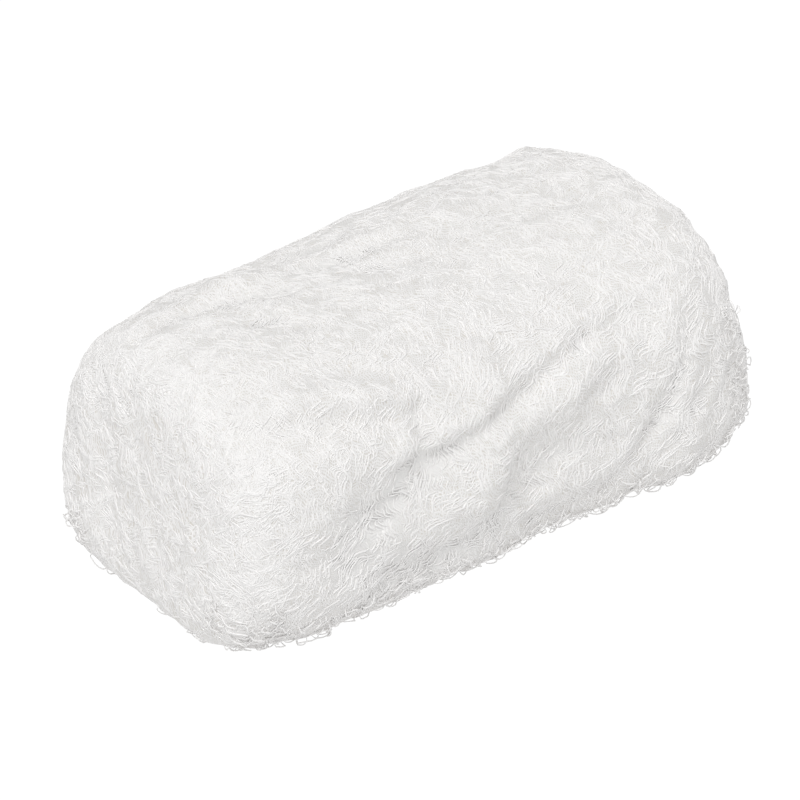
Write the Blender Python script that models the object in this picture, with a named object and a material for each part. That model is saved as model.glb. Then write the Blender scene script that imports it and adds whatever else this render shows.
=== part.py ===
"""Gauze bandage roll, for Blender 4.5.

One long strip of crinkle-weave cotton gauze, folded to several plies and wound without a
core, then pressed to a soft rounded box. It is one closed solid of the wound form with its
main folds. The roll lies on its side on Z = 0, +X runs along its axis, -Y is its front long
side and +Z is up. Sizes are in millimetres and become metres when the mesh is made.

A place on the skin is a pair (run, girth):
  run    mm along the skin. 0 is the middle of the roll, -RUN_END is the centre of the near
         end face, reached over the near rim, and +RUN_END is the centre of the far one.
  girth  degrees round the roll in even steps of its outline: 0 is the front, 90 the top,
         180 the back and 270 the underside.
"""

from collections import namedtuple

import bpy
import numpy as np

MM = 0.001

# ---------------------------------------------------------------- driving sizes
STRIP_WIDTH = 114.0  # the strip's width is the roll's length, measured at mid height
ROLL_WIDTH = 63.6  # front to back
ROLL_HEIGHT = 51.2  # before its weight flattens the underside
FLATTENED = 1.2  # how far the underside is pressed flat
TOP_LEAN = 0.075  # the top is pushed back by this share of the height above the middle
FRONT_ROUNDNESS = 2.8  # outline exponents of the top's two shoulders and of the base:
BACK_ROUNDNESS = 2.2  # 2 is an ellipse and larger is boxier
BASE_ROUNDNESS = 3.3
RIM_ROUNDNESS = {"near": 6.0, "far": 7.9}  # exponents of the profile from side to end face
END_LEAN = {"near": 0.14, "far": -0.14}  # both end faces belly out at the bottom

# ---------------------------------------------------------------- mesh steps
# Columns round the roll are closest over the folded front and widest under the flat base.
Span = namedtuple("Span", "start end steps")
GIRTH_SPANS = (
    Span(start=-36, end=54, steps=38),
    Span(start=54, end=144, steps=20),
    Span(start=144, end=224, steps=14),
    Span(start=224, end=324, steps=8),
)
SIDE_STEPS = 56  # rings along the side, rims included
END_STEPS = 6  # rings across each end face
END_FACE_MM = 21.0  # skin length from an end's centre to where its rim starts
OUTLINE_POINTS = 4001  # fine points from which even steps along an outline are read
PATH_POINTS = 61  # fine points along one fold
LIP_REACH = 1.2  # how far out a lip peaks, in half widths of its fold
END_FADE = (30.0, 9.0)  # skin length from an end's centre to where its creases end, and fade
NUDGE = 0.5  # step, in mm and in degrees, by which the skin's normal is felt along a fold

# How far each side stands off the plain form along the roll, in mm.
Section = namedtuple("Section", "along front back top")
SECTIONS = (
    Section(along=-57, front=0.4, back=0.8, top=1.2),
    Section(along=-40, front=0.4, back=1.0, top=0.8),
    Section(along=-25, front=0.4, back=1.9, top=0.3),
    Section(along=-15, front=0.8, back=0.3, top=-0.1),
    Section(along=-7, front=1.0, back=0.6, top=-0.1),
    Section(along=4, front=-1.2, back=1.2, top=0.1),
    Section(along=18, front=-0.9, back=2.0, top=0.4),
    Section(along=28, front=-0.8, back=0.9, top=0.3),
    Section(along=37, front=1.1, back=-0.4, top=0.1),
    Section(along=45, front=0.5, back=0.6, top=0.4),
    Section(along=51, front=-0.8, back=0.9, top=0.2),
    Section(along=57, front=0.3, back=1.2, top=-0.3),
)

# A fold runs from start through middle to end, each a (run, girth) place. depth is in mm at
# those three places, + for a trough and - for a ridge, and width is its half width in mm.
# lip is how far the cloth beside it rises, + to the left of its path and - to the right.
Fold = namedtuple("Fold", "name start middle end depth width lip")
FOLDS = (
    # front: the long crease under the top layer, and the pit that it starts from
    Fold("main_crease", (-25, 16), (-5, 19), (18, 30), (1.8, 2.2, 1.3), 3.1, 0.7),
    Fold("main_crease_tail", (17, 29), (27, 32), (40, 36), (0.3, 0.6, 0.1), 2.8, 0.4),
    Fold("pit", (-37, 4), (-26, 9), (-18, 14), (0.3, 1.6, 0.9), 4.2, 0.0),
    Fold("pit_riser", (-18, 33), (-19, 26), (-22, 16), (0.9, 1.5, 0.9), 3.0, -1.2),
    Fold("pit_shelf", (-51, 49), (-37, 40), (-21, 32), (0.7, 1.7, 1.3), 3.0, 0.8),
    # front: the swells that the crease and the valleys leave between them
    Fold("corner_swell", (-46, 27), (-36, 28), (-27, 24), (-0.4, -1.3, -0.5), 6.0, 0.0),
    Fold("top_swell", (-45, 52), (-33, 44), (-21, 39), (-0.2, -0.8, -0.5), 3.6, 0.0),
    Fold("under_crease_swell", (-22, 348), (-9, 359), (3, 11), (-0.5, -1.6, -0.8), 4.2, 0.0),
    Fold("long_swell", (3, 11), (12, 18), (23, 25), (-0.5, -1.3, -0.3), 3.8, 0.0),
    # front: the valleys low on the side
    Fold("hook_valley", (0, 3), (-6, 343), (-27, 336), (0.8, 1.8, 1.0), 4.2, 0.0),
    Fold("near_valley", (-46, 2), (-38, 348), (-26, 340), (0.2, 0.8, 0.6), 5.5, 0.0),
    Fold("middle_valley", (1, 3), (9, 358), (20, 352), (0.7, 1.3, 0.5), 4.6, 0.0),
    Fold("low_ridge", (-20, 328), (-10, 329), (-1, 332), (-0.3, -0.8, -0.3), 3.0, 0.0),
    Fold("low_ridge_2", (1, 342), (9, 342), (18, 341), (-0.3, -0.9, -0.3), 3.2, 0.0),
    Fold("low_trough", (-5, 334), (8, 334), (20, 333), (0.3, 0.9, 0.4), 2.4, 0.0),
    Fold("near_base_tuck", (-50, 322), (-32, 326), (-8, 330), (0.7, 1.2, 0.4), 6.5, 0.0),
    # front: the pleats that gather towards the far rim
    Fold("far_pleat_1", (20, 334), (31, 354), (40, 26), (0.6, 1.3, 0.7), 2.5, 0.0),
    Fold("far_pleat_2", (28, 334), (39, 354), (46, 10), (0.4, 1.1, 0.4), 2.5, 0.0),
    Fold("far_pleat_3", (41, 345), (46, 353), (49, 2), (0.2, 0.6, 0.2), 2.4, 0.0),
    Fold("far_dash", (15, 10), (20, 12), (26, 16), (0.2, 0.7, 0.2), 2.1, 0.0),
    Fold("far_rim_notch", (46, 27), (55, 21), (64, 15), (0.3, 1.0, 0.4), 2.7, 0.0),
    # top: the crease along the back edge, and the lens of cloth behind it
    Fold("back_edge_crease", (-50, 110), (-35, 108), (-21, 99), (0.5, 1.6, 0.9), 2.3, 0.4),
    Fold("back_edge_crease_2", (-16, 108), (-4, 104), (8, 101), (0.4, 1.4, 0.3), 2.3, 0.3),
    Fold("near_shoulder", (-56, 134), (-50, 131), (-42, 128), (-0.3, -1.0, -0.2), 6.0, 0.0),
    Fold("back_lens", (-33, 117), (-27, 115), (-20, 109), (-0.3, -1.1, -0.3), 3.0, 0.0),
    Fold("back_tuck", (-27, 132), (-14, 123), (0, 116), (0.3, 1.2, 0.2), 2.6, 0.0),
    Fold("far_ear", (42, 128), (45, 128), (48, 127), (-0.2, -0.9, -0.2), 3.0, 0.0),
    # top: shallow ripples that run down from the back edge
    Fold("top_ripple_1", (-50, 97), (-41, 93), (-32, 89), (0.2, 0.5, 0.2), 2.6, 0.0),
    Fold("top_ripple_2", (-31, 89), (-26, 80), (-24, 68), (0.2, 0.5, 0.1), 2.8, 0.0),
    Fold("top_ripple_3", (-13, 101), (-4, 91), (8, 78), (0.2, 0.5, 0.1), 3.0, 0.0),
    Fold("top_ripple_4", (-38, 62), (-30, 57), (-23, 53), (0.2, 0.6, 0.1), 2.4, 0.0),
    Fold("top_ripple_5", (-51, 65), (-48, 59), (-45, 54), (0.2, 0.6, 0.2), 2.2, 0.0),
    Fold("top_ripple_6", (6, 92), (22, 88), (42, 84), (0.1, 0.5, 0.1), 3.6, 0.0),
    Fold("top_ripple_7", (0, 62), (18, 56), (34, 50), (0.1, 0.5, 0.1), 3.6, 0.0),
    # back and underside, out of sight in the photograph: folds of the same kind and size
    Fold("back_crease", (-34, 154), (-8, 162), (22, 176), (0.4, 2.2, 0.4), 3.0, 0.7),
    Fold("back_valley", (-30, 192), (-14, 202), (6, 206), (0.3, 1.8, 0.3), 4.8, 0.0),
    Fold("back_swell", (-24, 172), (-6, 182), (16, 192), (-0.3, -1.5, -0.3), 5.0, 0.0),
    Fold("back_pleat_1", (24, 166), (34, 182), (42, 202), (0.4, 1.6, 0.3), 3.0, 0.0),
    Fold("back_pleat_2", (36, 160), (44, 174), (50, 190), (0.3, 1.3, 0.3), 3.0, 0.0),
    Fold("back_pleat_3", (-52, 172), (-44, 188), (-34, 206), (0.3, 1.3, 0.3), 3.0, 0.0),
)

# Creases across the end faces, as (across, height) places: mm from the axis, seen along +X.
END_FOLDS = {
    "near": (
        Fold("outer_turn", (21, 42), (13, 35), (9, 22), (0.4, 0.7, 0.3), 2.6, 0.0),
        Fold("outer_turn_foot", (9, 22), (7, 15), (0, 9), (0.3, 0.4, 0.1), 3.2, 0.0),
        Fold("rim_tuck", (27, 32), (22, 25), (20, 16), (0.2, 0.5, 0.2), 2.4, 0.0),
    ),
    "far": (
        Fold("outer_turn", (-20, 34), (0, 40), (18, 32), (0.3, 1.0, 0.4), 3.2, 0.0),
        Fold("inner_turn", (10, 32), (13, 22), (3, 12), (0.4, 0.9, 0.3), 3.2, 0.0),
    ),
}

# Slow unevenness of the whole skin: waves along, waves round, height in mm, phase in turns.
Swell = namedtuple("Swell", "along around height phase")
SWELLS = (
    Swell(along=2, around=3, height=0.25, phase=0.10),
    Swell(along=3, around=-5, height=0.20, phase=0.45),
    Swell(along=5, around=4, height=0.16, phase=0.70),
    Swell(along=7, around=-9, height=0.12, phase=0.25),
)


def signed_power(value, power):
    return np.sign(value) * np.abs(value) ** power


def skin_length(x, y):
    """Length along an outline from its first point to each of its points."""
    return np.concatenate([[0.0], np.cumsum(np.hypot(np.diff(x), np.diff(y)))])


def girth_outline():
    """One turn of the outline as (girth, y, z), with y and z from -1 to 1."""
    angle = np.linspace(0.0, 2.0 * np.pi, OUTLINE_POINTS)
    shoulder = np.where(np.cos(angle) > 0.0, FRONT_ROUNDNESS, BACK_ROUNDNESS)
    power = 2.0 / np.where(np.sin(angle) > 0.0, shoulder, BASE_ROUNDNESS)
    y = -signed_power(np.cos(angle), power)
    z = signed_power(np.sin(angle), power)
    length = skin_length(y * ROLL_WIDTH / 2, z * ROLL_HEIGHT / 2)
    return 360.0 * length / length[-1], y, z


def run_profile():
    """The profile from end centre to end centre as (run, x, reach), x from -1 to 1."""
    angle = np.linspace(-np.pi / 2, np.pi / 2, OUTLINE_POINTS)
    power = 2.0 / np.where(angle < 0.0, RIM_ROUNDNESS["near"], RIM_ROUNDNESS["far"])
    x = signed_power(np.sin(angle), power)
    reach = np.abs(np.cos(angle)) ** power
    length = skin_length(x * STRIP_WIDTH / 2, reach * (ROLL_WIDTH + ROLL_HEIGHT) / 4)
    return length - length[-1] / 2, x, reach


GIRTH, GIRTH_Y, GIRTH_Z = girth_outline()
RUN, RUN_X, RUN_REACH = run_profile()
RUN_END = RUN[-1]


def section_value(x, name):
    """A column of SECTIONS at x, joined by smooth steps from row to row."""
    along = np.array([row.along for row in SECTIONS], float)
    value = np.array([getattr(row, name) for row in SECTIONS])
    row = np.clip(np.searchsorted(along, x) - 1, 0, len(along) - 2)
    part = np.clip((x - along[row]) / (along[row + 1] - along[row]), 0.0, 1.0)
    return value[row] + (value[row + 1] - value[row]) * part**2 * (3.0 - 2.0 * part)


def plain_form(run, girth):
    """The pressed roll without folds: x, y and z in mm at the given places."""
    x_share = np.interp(run, RUN, RUN_X)
    reach = np.interp(run, RUN, RUN_REACH)
    y_share = np.interp(girth % 360.0, GIRTH, GIRTH_Y)
    z_share = np.interp(girth % 360.0, GIRTH, GIRTH_Z)
    x = x_share * STRIP_WIDTH / 2
    bulge = np.where(y_share > 0, section_value(x, "back"), section_value(x, "front"))
    rise = section_value(x, "top") * (z_share > 0)
    y = reach * (ROLL_WIDTH / 2 + bulge) * y_share
    z = reach * (ROLL_HEIGHT / 2 + rise) * z_share
    y = y + TOP_LEAN * z
    lean = np.where(x_share < 0, END_LEAN["near"], END_LEAN["far"])
    x = x + lean * x_share**4 * z
    return np.stack([x, y, z + ROLL_HEIGHT / 2 - FLATTENED], axis=-1)


def normals_of(points):
    """Outward normals of a (run, girth) grid, from the steps to its neighbours."""
    round_step = np.roll(points, -1, axis=1) - np.roll(points, 1, axis=1)
    run_step = np.gradient(points, axis=0)
    normals = np.cross(run_step, round_step)
    length = np.linalg.norm(normals, axis=-1, keepdims=True)
    return normals / np.maximum(length, 1e-9)


def through(start, middle, end):
    """The smooth curve that meets start, middle and end at 0, a half and 1 of its share."""
    share = np.linspace(0.0, 1.0, PATH_POINTS)[:, None]
    start, middle, end = (np.array(place, float) for place in (start, middle, end))
    return (
        start * (1 - share) * (1 - 2 * share)
        + middle * 4 * share * (1 - share)
        + end * share * (2 * share - 1)
    )


def unwrapped(fold):
    """The three places of a fold with girths that don't jump at 360 degrees."""
    places = [fold.start]
    for run, girth in (fold.middle, fold.end):
        last = places[-1][1]
        places.append((run, last + (girth - last + 180.0) % 360.0 - 180.0))
    return places


def fold_height(points, path, normals_on_path, fold):
    """Height that one fold gives each point, from its distance to the fold's path. The lip
    grows from nothing straight behind or ahead of the path's ends to its full height abreast
    of the path, so that it ends softly."""
    away = points[:, None, :] - path[None, :, :]
    distance = np.linalg.norm(away, axis=-1)
    nearest = np.argmin(distance, axis=1)
    each = np.arange(len(points))
    depth = np.interp(nearest / (PATH_POINTS - 1), (0.0, 0.5, 1.0), fold.depth)
    gap = distance[each, nearest] / fold.width
    height = -depth * np.exp(-(gap**2))
    if fold.lip:
        left = np.cross(normals_on_path[nearest], np.gradient(path, axis=0)[nearest])
        left /= np.maximum(np.linalg.norm(left, axis=-1, keepdims=True), 1e-9)
        aside = np.einsum("ij,ij->i", left, away[each, nearest]) / fold.width
        lifted = 0.5 + 0.5 * np.sign(fold.lip) * aside / np.maximum(gap, 1e-6)
        rise = gap**2 * np.exp(1.0 - (gap / LIP_REACH) ** 2)
        height += lifted * abs(fold.lip) * depth / max(fold.depth) * rise
    return height


def skin_heights(points, run, girth):
    """Height of all the folds and swells at each point of the grid."""
    flat = points.reshape(-1, 3)
    height = np.zeros(len(flat))
    for fold in FOLDS:
        place = through(*unwrapped(fold))
        path = plain_form(place[:, 0], place[:, 1])
        nearby = plain_form(place[:, 0] + NUDGE, place[:, 1])
        around = plain_form(place[:, 0], place[:, 1] + NUDGE)
        on_path = np.cross(nearby - path, around - path)
        height += fold_height(flat, path, on_path, fold)
    for end, side in (("near", -1.0), ("far", 1.0)):
        face = (side * run.reshape(-1) - RUN_END + END_FADE[0]) / END_FADE[1]
        face = np.clip(face, 0.0, 1.0)
        across = flat * (0.0, 1.0, 1.0)
        for fold in END_FOLDS[end]:
            path = np.zeros((PATH_POINTS, 3))
            path[:, 1:] = through(fold.start, fold.middle, fold.end)
            on_path = np.tile((side, 0.0, 0.0), (PATH_POINTS, 1))
            height += face * fold_height(across, path, on_path, fold)
    reach = np.interp(run, RUN, RUN_REACH)
    for swell in SWELLS:
        turn = swell.along * run / (2 * RUN_END) + swell.around * girth / 360.0 + swell.phase
        height += (swell.height * reach * np.sin(2 * np.pi * turn)).reshape(-1)
    return height.reshape(run.shape)


def ring_places():
    """Run of each ring, closer together along the side than across the end faces."""
    face = np.linspace(RUN_END, RUN_END - END_FACE_MM, END_STEPS + 1)[1:]
    side = np.linspace(-face[-1], face[-1], SIDE_STEPS + 1)
    return np.concatenate([-face[:-1], side, face[:-1][::-1]])


def column_places():
    """Girth of each column, in the even steps of its span."""
    spans = [np.linspace(span.start, span.end, span.steps + 1)[:-1] for span in GIRTH_SPANS]
    return np.concatenate(spans)


def gauze_roll():
    """The closed skin: rings of points from end to end, and one point at each end centre."""
    rings = ring_places()
    around = column_places()
    columns = len(around)
    run, girth = np.meshgrid(rings, around, indexing="ij")
    points = plain_form(run, girth)
    points = points + normals_of(points) * skin_heights(points, run, girth)[..., None]
    centres = points[[0, -1]].mean(axis=1)
    points = np.concatenate([points.reshape(-1, 3), centres])
    points[:, 2] = np.maximum(points[:, 2], 0.0)
    points[:, :2] -= (points[:, :2].min(axis=0) + points[:, :2].max(axis=0)) / 2

    count = len(rings)
    near, far = count * columns, count * columns + 1
    faces = []
    for column in range(columns):
        after = (column + 1) % columns
        faces.append((near, column, after))
        faces.append((far, (count - 1) * columns + after, (count - 1) * columns + column))
        for ring in range(count - 1):
            # starting at this corner splits each face along the slant that most folds take
            here, there = ring * columns, (ring + 1) * columns
            faces.append((here + column, there + column, there + after, here + after))
    mesh = bpy.data.meshes.new("gauze_roll")
    mesh.from_pydata((points * MM).tolist(), [], faces)
    mesh.shade_smooth()
    return mesh


def gauze_material():
    """Bleached cotton gauze: a warm white with no gloss."""
    material = bpy.data.materials.new("bleached_gauze")
    material.use_nodes = True
    shader = material.node_tree.nodes["Principled BSDF"]
    shader.inputs["Base Color"].default_value = (0.86, 0.86, 0.84, 1.0)
    shader.inputs["Roughness"].default_value = 0.95
    shader.inputs["Metallic"].default_value = 0.0
    return material


for old in list(bpy.data.objects):
    bpy.data.objects.remove(old, do_unlink=True)
roll = bpy.data.objects.new("gauze_roll", gauze_roll())
roll.data.materials.append(gauze_material())
bpy.context.scene.collection.objects.link(roll)
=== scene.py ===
"""Looks of the gauze bandage roll, for Blender 4.5.

The roll lies on its side on Z = 0, +X runs along its axis, -Y is its front long side and +Z
is up. Sizes are in millimetres and become metres when a mesh is made. A place on the skin
is a pair (run, girth):
  run    mm along the skin. 0 is the middle of the roll, -RUN_END is the centre of the near
         end face, reached over the near rim, and +RUN_END is the centre of the far one.
  girth  degrees round the roll in even steps of its outline: 0 is the front, 90 the top,
         180 the back and 270 the underside.
"""

import math
from collections import namedtuple

import bpy
import numpy as np
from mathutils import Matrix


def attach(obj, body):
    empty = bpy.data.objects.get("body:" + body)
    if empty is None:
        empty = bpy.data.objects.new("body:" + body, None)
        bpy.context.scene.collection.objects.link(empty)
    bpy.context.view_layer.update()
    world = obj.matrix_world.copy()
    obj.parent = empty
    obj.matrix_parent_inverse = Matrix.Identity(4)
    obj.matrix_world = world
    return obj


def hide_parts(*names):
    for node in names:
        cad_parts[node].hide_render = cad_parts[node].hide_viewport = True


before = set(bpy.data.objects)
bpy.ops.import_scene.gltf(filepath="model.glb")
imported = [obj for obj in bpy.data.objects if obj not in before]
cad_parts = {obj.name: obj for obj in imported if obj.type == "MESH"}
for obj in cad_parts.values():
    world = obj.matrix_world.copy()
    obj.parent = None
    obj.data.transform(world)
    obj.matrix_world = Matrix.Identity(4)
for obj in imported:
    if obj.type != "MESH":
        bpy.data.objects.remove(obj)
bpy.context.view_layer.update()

# ================================================================ the wound strip
# One strip of open cotton gauze, folded to several plies and wound on itself with no core,
# then pressed to a soft rounded box. It has no hem, label or tie: its own crinkle holds it.
MM = 0.001
STRIP_WIDTH = 114.0
ROLL_WIDTH = 63.6  # front to back
ROLL_HEIGHT = 51.2  # before its weight flattens the underside
FLATTENED = 1.2
TOP_LEAN = 0.075  # the top is pushed back by this share of the height above the middle
FRONT_ROUNDNESS = 2.8  # outline exponents: 2 is an ellipse and larger is boxier
BACK_ROUNDNESS = 2.2
BASE_ROUNDNESS = 3.3
RIM_ROUNDNESS = {"near": 6.0, "far": 7.9}  # exponents of the profile from side to end face
END_LEAN = {"near": 0.14, "far": -0.14}  # both end faces belly out at the bottom
RINGS = 204  # from end centre to end centre
COLUMNS = 232  # round the roll
OUTLINE_POINTS = 4001
PATH_POINTS = 81  # along a fold
PATH_STEP = 0.5  # from a fold's path to a place beside it, in mm along and degrees round
FOLD_REACH = 4.0  # widths from its path at which a fold has died out
CORE_SHARE = 0.05  # a trough's sharp bottom, as a share of its depth
CORE_WIDTH = 0.36  # and of its width
LIP_WIDTH = 1.2  # a lip's width, as a share of its fold's
END_CREASE_REACH = 30.0  # skin length from an end's centre that its creases cover
END_CREASE_FADE = 9.0  # the last part of it, in which they fade out
HOLLOW_FROM = 0.6  # the cloth counts as hollow from this depth on
HOLLOW_OVER = 1.2  # and this much deeper as the bottom of a trough
SUNK = 0.35  # the ply under the yarns lies this far inside the roll's outer surface
RESTING = 0.5  # but not where the skin is this close to the floor, for the ply rests there
BRIDGE = 0.1  # how far the yarns stand off the ply where they cross the bottom of a trough
TURN_TO_END = 2.4  # the end's weave comes in where a normal's x is 1 / 2.4, all of it at 2 / 2.4

# How far each side stands off the plain form along the roll, in mm.
Section = namedtuple("Section", "along front back top")
SECTIONS = (
    Section(-57, 0.4, 0.8, 1.2),
    Section(-40, 0.4, 1.0, 0.8),
    Section(-25, 0.4, 1.9, 0.3),
    Section(-15, 0.8, 0.3, -0.1),
    Section(-7, 1.0, 0.6, -0.1),
    Section(4, -1.2, 1.2, 0.1),
    Section(18, -0.9, 2.0, 0.4),
    Section(28, -0.8, 0.9, 0.3),
    Section(37, 1.1, -0.4, 0.1),
    Section(45, 0.5, 0.6, 0.4),
    Section(51, -0.8, 0.9, 0.2),
    Section(57, 0.3, 1.2, -0.3),
)

# A fold runs through three (run, girth) places. depth is in mm there, + for a trough and -
# for a ridge, and width is its half width. lip is how far the cloth beside it rises.
Fold = namedtuple("Fold", "name start middle end depth width lip")
FOLDS = (
    # front: the long crease under the top layer, and the pit that it starts from
    Fold("main_crease", (-25, 16), (-5, 19), (18, 30), (1.0, 1.4, 1.1), 2.5, 0.4),
    Fold("main_crease_tail", (17, 29), (27, 32), (40, 36), (0.3, 0.6, 0.1), 2.8, 0.4),
    Fold("pit", (-38, 1), (-27, 6), (-18, 12), (0.4, 1.8, 1.2), 5.0, 0.0),
    Fold("pit_riser", (-18, 33), (-19, 26), (-22, 16), (0.8, 1.3, 0.5), 2.8, -0.5),
    Fold("pit_shelf", (-51, 49), (-37, 40), (-21, 32), (0.7, 1.7, 1.3), 3.0, 0.8),
    # front: the swells that the crease and the valleys leave between them
    Fold("corner_swell", (-46, 27), (-36, 28), (-27, 24), (-0.4, -1.1, -0.5), 6.0, 0.0),
    Fold("top_swell", (-45, 52), (-33, 44), (-21, 39), (-0.2, -0.8, -0.5), 3.6, 0.0),
    Fold("under_crease_swell", (-22, 348), (-9, 359), (3, 11), (-0.5, -1.6, -0.8), 4.2, 0.0),
    Fold("long_swell", (3, 11), (12, 18), (23, 25), (-0.5, -1.3, -0.3), 3.8, 0.0),
    # front: the valleys low on the side
    Fold("hook_valley", (0, 3), (-6, 343), (-27, 336), (0.7, 1.5, 0.9), 4.2, 0.0),
    Fold("near_valley", (-46, 0), (-36, 346), (-20, 342), (0.4, 1.3, 0.8), 6.5, 0.0),
    Fold("middle_valley", (1, 3), (9, 358), (20, 352), (0.7, 1.3, 0.5), 4.6, 0.0),
    Fold("low_ridge", (-20, 328), (-10, 329), (-1, 332), (-0.3, -0.8, -0.3), 3.0, 0.0),
    Fold("low_ridge_2", (1, 342), (9, 342), (18, 341), (-0.3, -0.9, -0.3), 3.2, 0.0),
    Fold("low_trough", (-5, 334), (8, 334), (20, 333), (0.3, 0.9, 0.4), 2.4, 0.0),
    Fold("near_base_tuck", (-50, 322), (-32, 326), (-8, 330), (0.9, 1.7, 0.6), 6.5, 0.0),
    # front: the pleats that gather towards the far rim
    Fold("far_pleat_1", (20, 334), (31, 354), (40, 26), (0.6, 1.6, 0.8), 2.5, 0.0),
    Fold("far_pleat_2", (28, 334), (39, 354), (46, 10), (0.5, 1.4, 0.5), 2.5, 0.0),
    Fold("far_pleat_3", (41, 345), (46, 353), (49, 2), (0.3, 0.9, 0.3), 2.4, 0.0),
    Fold("far_dash", (15, 10), (20, 12), (26, 16), (0.2, 0.7, 0.2), 2.1, 0.0),
    Fold("far_rim_notch", (46, 27), (55, 21), (64, 15), (0.3, 1.3, 0.5), 2.7, 0.0),
    # top: the crease along the back edge, and the lens of cloth behind it
    Fold("back_edge_crease", (-50, 110), (-35, 108), (-21, 99), (0.6, 1.9, 1.1), 2.3, 0.4),
    Fold("back_edge_crease_2", (-16, 108), (-4, 104), (8, 101), (0.5, 1.6, 0.4), 2.3, 0.3),
    Fold("near_shoulder", (-56, 134), (-50, 131), (-42, 128), (-0.3, -1.0, -0.2), 6.0, 0.0),
    Fold("back_lens", (-33, 117), (-27, 115), (-20, 109), (-0.3, -1.1, -0.3), 3.0, 0.0),
    Fold("back_tuck", (-27, 132), (-14, 123), (0, 116), (0.3, 1.2, 0.2), 2.6, 0.0),
    Fold("far_ear", (42, 128), (45, 128), (48, 127), (-0.2, -0.9, -0.2), 3.0, 0.0),
    # top: shallow ripples that run down from the back edge
    Fold("top_ripple_1", (-50, 97), (-41, 93), (-32, 89), (0.3, 0.8, 0.3), 2.6, 0.0),
    Fold("top_ripple_2", (-31, 89), (-26, 80), (-24, 68), (0.3, 0.8, 0.2), 2.8, 0.0),
    Fold("top_ripple_3", (-13, 101), (-4, 91), (8, 78), (0.3, 0.8, 0.2), 3.0, 0.0),
    Fold("top_ripple_4", (-38, 62), (-30, 57), (-23, 53), (0.3, 0.9, 0.2), 2.4, 0.0),
    Fold("top_ripple_5", (-51, 65), (-48, 59), (-45, 54), (0.3, 0.8, 0.3), 2.2, 0.0),
    Fold("top_ripple_6", (6, 92), (22, 88), (42, 84), (0.2, 0.8, 0.2), 3.6, 0.0),
    Fold("top_ripple_7", (0, 62), (18, 56), (34, 50), (0.2, 0.8, 0.2), 3.6, 0.0),
    # back and underside, out of sight in the photograph: folds of the same kind and size
    Fold("back_crease", (-34, 154), (-8, 162), (22, 176), (0.4, 2.2, 0.4), 3.0, 0.7),
    Fold("back_valley", (-30, 192), (-14, 202), (6, 206), (0.3, 1.8, 0.3), 4.8, 0.0),
    Fold("back_swell", (-24, 172), (-6, 182), (16, 192), (-0.3, -1.5, -0.3), 5.0, 0.0),
    Fold("back_pleat_1", (24, 166), (34, 182), (42, 202), (0.4, 1.6, 0.3), 3.0, 0.0),
    Fold("back_pleat_2", (36, 160), (44, 174), (50, 190), (0.3, 1.3, 0.3), 3.0, 0.0),
    Fold("back_pleat_3", (-52, 172), (-44, 188), (-34, 206), (0.3, 1.3, 0.3), 3.0, 0.0),
)

# Creases across the end faces, as (across, height) places: mm from the axis, seen along +X.
END_FOLDS = {
    "near": (
        Fold("outer_turn", (21, 42), (13, 35), (9, 22), (0.6, 1.0, 0.5), 2.6, 0.0),
        Fold("outer_turn_foot", (9, 22), (7, 15), (0, 9), (0.5, 0.6, 0.2), 3.2, 0.0),
        Fold("rim_tuck", (27, 32), (22, 25), (20, 16), (0.2, 0.5, 0.2), 2.4, 0.0),
    ),
    "far": (
        Fold("outer_turn", (-20, 34), (0, 40), (18, 32), (0.3, 1.0, 0.4), 3.2, 0.0),
        Fold("inner_turn", (10, 32), (13, 22), (3, 12), (0.4, 0.9, 0.3), 3.2, 0.0),
    ),
}

# Slow unevenness of the whole skin: waves along, waves round, height in mm, phase in turns.
Swell = namedtuple("Swell", "along around height phase")
SWELLS = (
    Swell(2, 3, 0.25, 0.10),
    Swell(3, -5, 0.20, 0.45),
    Swell(5, 4, 0.16, 0.70),
    Swell(7, -9, 0.12, 0.25),
)

# Crinkles of no set shape: height and length in mm, and the length's share along the roll,
# where less than 1 draws them out into ripples that run along it.
Crinkle = namedtuple("Crinkle", "height length along seed")
CRINKLES = (
    Crinkle(0.16, 11.0, 1.0, 1),
    Crinkle(0.12, 4.5, 1.0, 2),
    Crinkle(0.14, 4.0, 0.3, 3),
)


def signed_power(value, power):
    """A power of a value's size, with the value's own sign."""
    return np.sign(value) * np.abs(value) ** power


def skin_length(x, y):
    """Length along an outline from its first point to each of its points."""
    return np.concatenate([[0.0], np.cumsum(np.hypot(np.diff(x), np.diff(y)))])


def girth_outline():
    """One turn of a superellipse outline as (angle, girth, y, z, length), with y and z from -1
    to 1 as signed powers of the angle's cosine and sine, and its whole length in mm."""
    angle = np.linspace(0.0, 2.0 * np.pi, OUTLINE_POINTS)
    shoulder = np.where(np.cos(angle) > 0.0, FRONT_ROUNDNESS, BACK_ROUNDNESS)
    power = 2.0 / np.where(np.sin(angle) > 0.0, shoulder, BASE_ROUNDNESS)
    y = -signed_power(np.cos(angle), power)
    z = signed_power(np.sin(angle), power)
    length = skin_length(y * ROLL_WIDTH / 2, z * ROLL_HEIGHT / 2)
    return angle, 360.0 * length / length[-1], y, z, length[-1]


def run_profile():
    """The superellipse profile from end centre to end centre as (run, x, reach), with x from
    -1 to 1 and reach from 0 at the centres to 1 at the middle."""
    angle = np.linspace(-np.pi / 2, np.pi / 2, OUTLINE_POINTS)
    power = 2.0 / np.where(angle < 0.0, RIM_ROUNDNESS["near"], RIM_ROUNDNESS["far"])
    x = signed_power(np.sin(angle), power)
    reach = np.abs(np.cos(angle)) ** power
    length = skin_length(x * STRIP_WIDTH / 2, reach * (ROLL_WIDTH + ROLL_HEIGHT) / 4)
    return length - length[-1] / 2, x, reach


ANGLE, GIRTH, GIRTH_Y, GIRTH_Z, GIRTH_LENGTH = girth_outline()
RUN, RUN_X, RUN_REACH = run_profile()
RUN_END = RUN[-1]


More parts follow.
